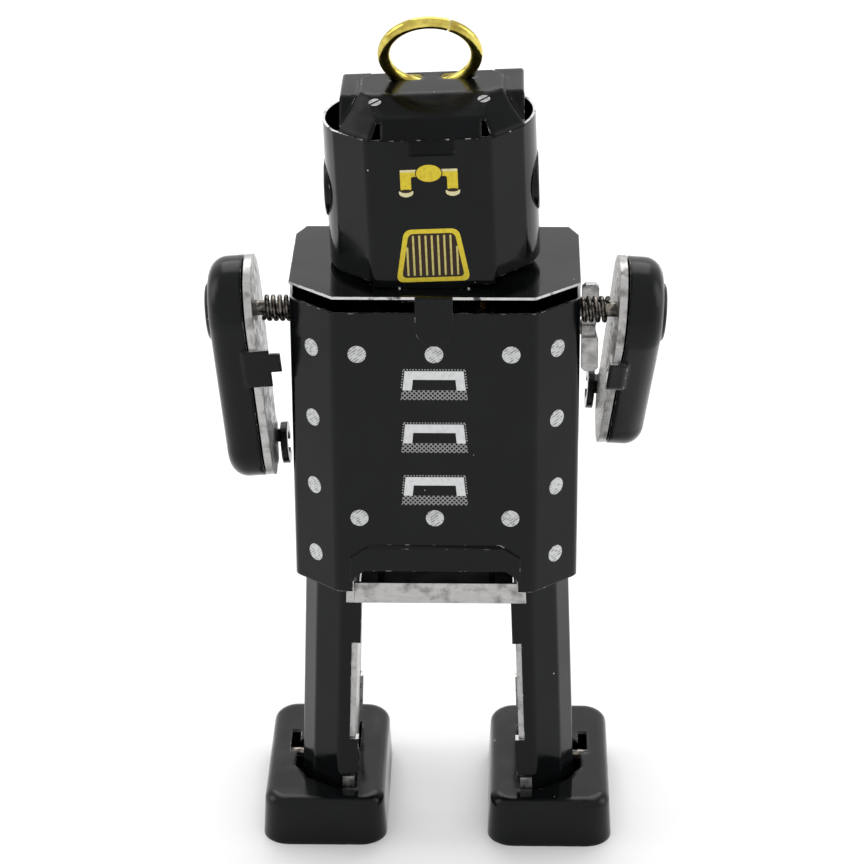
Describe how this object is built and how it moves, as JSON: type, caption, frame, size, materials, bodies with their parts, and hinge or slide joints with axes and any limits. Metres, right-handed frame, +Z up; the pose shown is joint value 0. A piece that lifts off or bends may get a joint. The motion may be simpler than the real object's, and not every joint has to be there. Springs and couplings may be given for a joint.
{
  "type": "wind-up tin toy robot",
  "caption": "Small wind-up walking robot of folded tin with a side key, swinging arms, splayed legs and a hanging ring on its head.",
  "frame": {"origin": "under the middle of the toy, on the plane that its feet stand on", "axes": "+Z up, the robot faces -Y, +X is its left side"},
  "size_m": [0.0424, 0.0211, 0.0816],
  "materials": {
    "black_tin": "gloss",
    "bare_tin": "satin",
    "dull_steel": "worn",
    "ring_brass": "polished",
    "gear_brass": "satin"
  },
  "bodies": {
    "torso": {"torso_back_shell": "black_tin", "torso_front_shell": "black_tin", "shoulder_plate": "black_tin", "base_plate": "bare_tin", "left_motor_plate": "bare_tin", "right_motor_plate": "bare_tin", "motor_pillars": "dull_steel", "hip_axle": "dull_steel", "mainspring": "dull_steel", "head_shell": "black_tin", "head_cap": "black_tin", "left_shoulder_spring": "dull_steel", "right_shoulder_spring": "dull_steel"},
    "winding": {"winding_arbor": "dull_steel", "ratchet_wheel": "dull_steel", "ratchet_click": "dull_steel", "great_wheel": "gear_brass", "winding_key": "dull_steel"},
    "second": {"second_pinion": "dull_steel", "second_wheel": "gear_brass"},
    "crankshaft": {"crank_shaft": "dull_steel", "crank_wheel": "gear_brass", "left_crank": "dull_steel", "right_crank": "dull_steel"},
    "escape": {"escape_pinion": "dull_steel", "escape_wheel": "gear_brass"},
    "rocker": {"pallet": "dull_steel"},
    "ring": {"hanging_ring": "ring_brass"},
    "left_arm": {"left_arm_shell": "black_tin", "left_arm_plate": "bare_tin", "left_claw": "dull_steel", "left_shoulder_pin": "dull_steel"},
    "left_leg": {"left_leg_channel": "black_tin", "left_leg_plate": "bare_tin"},
    "left_foot": {"left_foot_shell": "black_tin", "left_foot_sole": "bare_tin", "left_ankle_pin": "dull_steel"},
    "right_arm": {"right_arm_shell": "black_tin", "right_arm_plate": "bare_tin", "right_claw": "dull_steel", "right_shoulder_pin": "dull_steel"},
    "right_leg": {"right_leg_channel": "black_tin", "right_leg_plate": "bare_tin"},
    "right_foot": {"right_foot_shell": "black_tin", "right_foot_sole": "bare_tin", "right_ankle_pin": "dull_steel"}
  },
  "joints": [
    {"name": "winding_spin", "type": "hinge", "parent": "torso", "child": "winding", "pos_m": [0, -0.00158, 0.0496], "axis": [1, 0, 0], "continuous": true},
    {"name": "second_spin", "type": "hinge", "parent": "torso", "child": "second", "pos_m": [0, 0.00217, 0.04498], "axis": [1, 0, 0], "continuous": true},
    {"name": "crank_spin", "type": "hinge", "parent": "torso", "child": "crankshaft", "pos_m": [0, 0.00157, 0.03906], "axis": [1, 0, 0], "continuous": true},
    {"name": "escape_spin", "type": "hinge", "parent": "torso", "child": "escape", "pos_m": [0, -0.00268, 0.04322], "axis": [1, 0, 0], "continuous": true},
    {"name": "pallet_rock", "type": "hinge", "parent": "torso", "child": "rocker", "pos_m": [0, -0.00433, 0.03962], "axis": [1, 0, 0], "range_deg": [-4, 4]},
    {"name": "ring_swing", "type": "hinge", "parent": "torso", "child": "ring", "pos_m": [0.0003, 0.00002, 0.07463], "axis": [0.9993, 0, -0.0384], "range_deg": [0, 60]},
    {"name": "left_shoulder", "type": "hinge", "parent": "torso", "child": "left_arm", "pos_m": [0.0164, 0.00282, 0.0533], "axis": [1, 0, 0], "range_deg": [-100, 60]},
    {"name": "left_hip", "type": "hinge", "parent": "torso", "child": "left_leg", "pos_m": [0, 0.00157, 0.032], "axis": [1, 0, 0], "range_deg": [-4.9, 4.9]},
    {"name": "left_ankle", "type": "hinge", "parent": "left_leg", "child": "left_foot", "pos_m": [0.0109, -0.00068, 0.0037], "axis": [1, 0, 0], "range_deg": [0, 5]},
    {"name": "right_shoulder", "type": "hinge", "parent": "torso", "child": "right_arm", "pos_m": [-0.0164, 0.00282, 0.0533], "axis": [1, 0, 0], "range_deg": [-78, 82]},
    {"name": "right_hip", "type": "hinge", "parent": "torso", "child": "right_leg", "pos_m": [0, 0.00157, 0.032], "axis": [1, 0, 0], "range_deg": [-4.9, 4.9]},
    {"name": "right_ankle", "type": "hinge", "parent": "right_leg", "child": "right_foot", "pos_m": [-0.0109, -0.00068, 0.0037], "axis": [1, 0, 0], "range_deg": [0, 5]}
  ],
  "couplings": [
    {"joint": "second_spin", "follows": "winding_spin", "ratio": -2.4},
    {"joint": "crank_spin", "follows": "winding_spin", "ratio": 5.76},
    {"joint": "escape_spin", "follows": "winding_spin", "ratio": -13.824},
    {"joint": "right_hip", "follows": "left_hip", "ratio": -1}
  ]
}
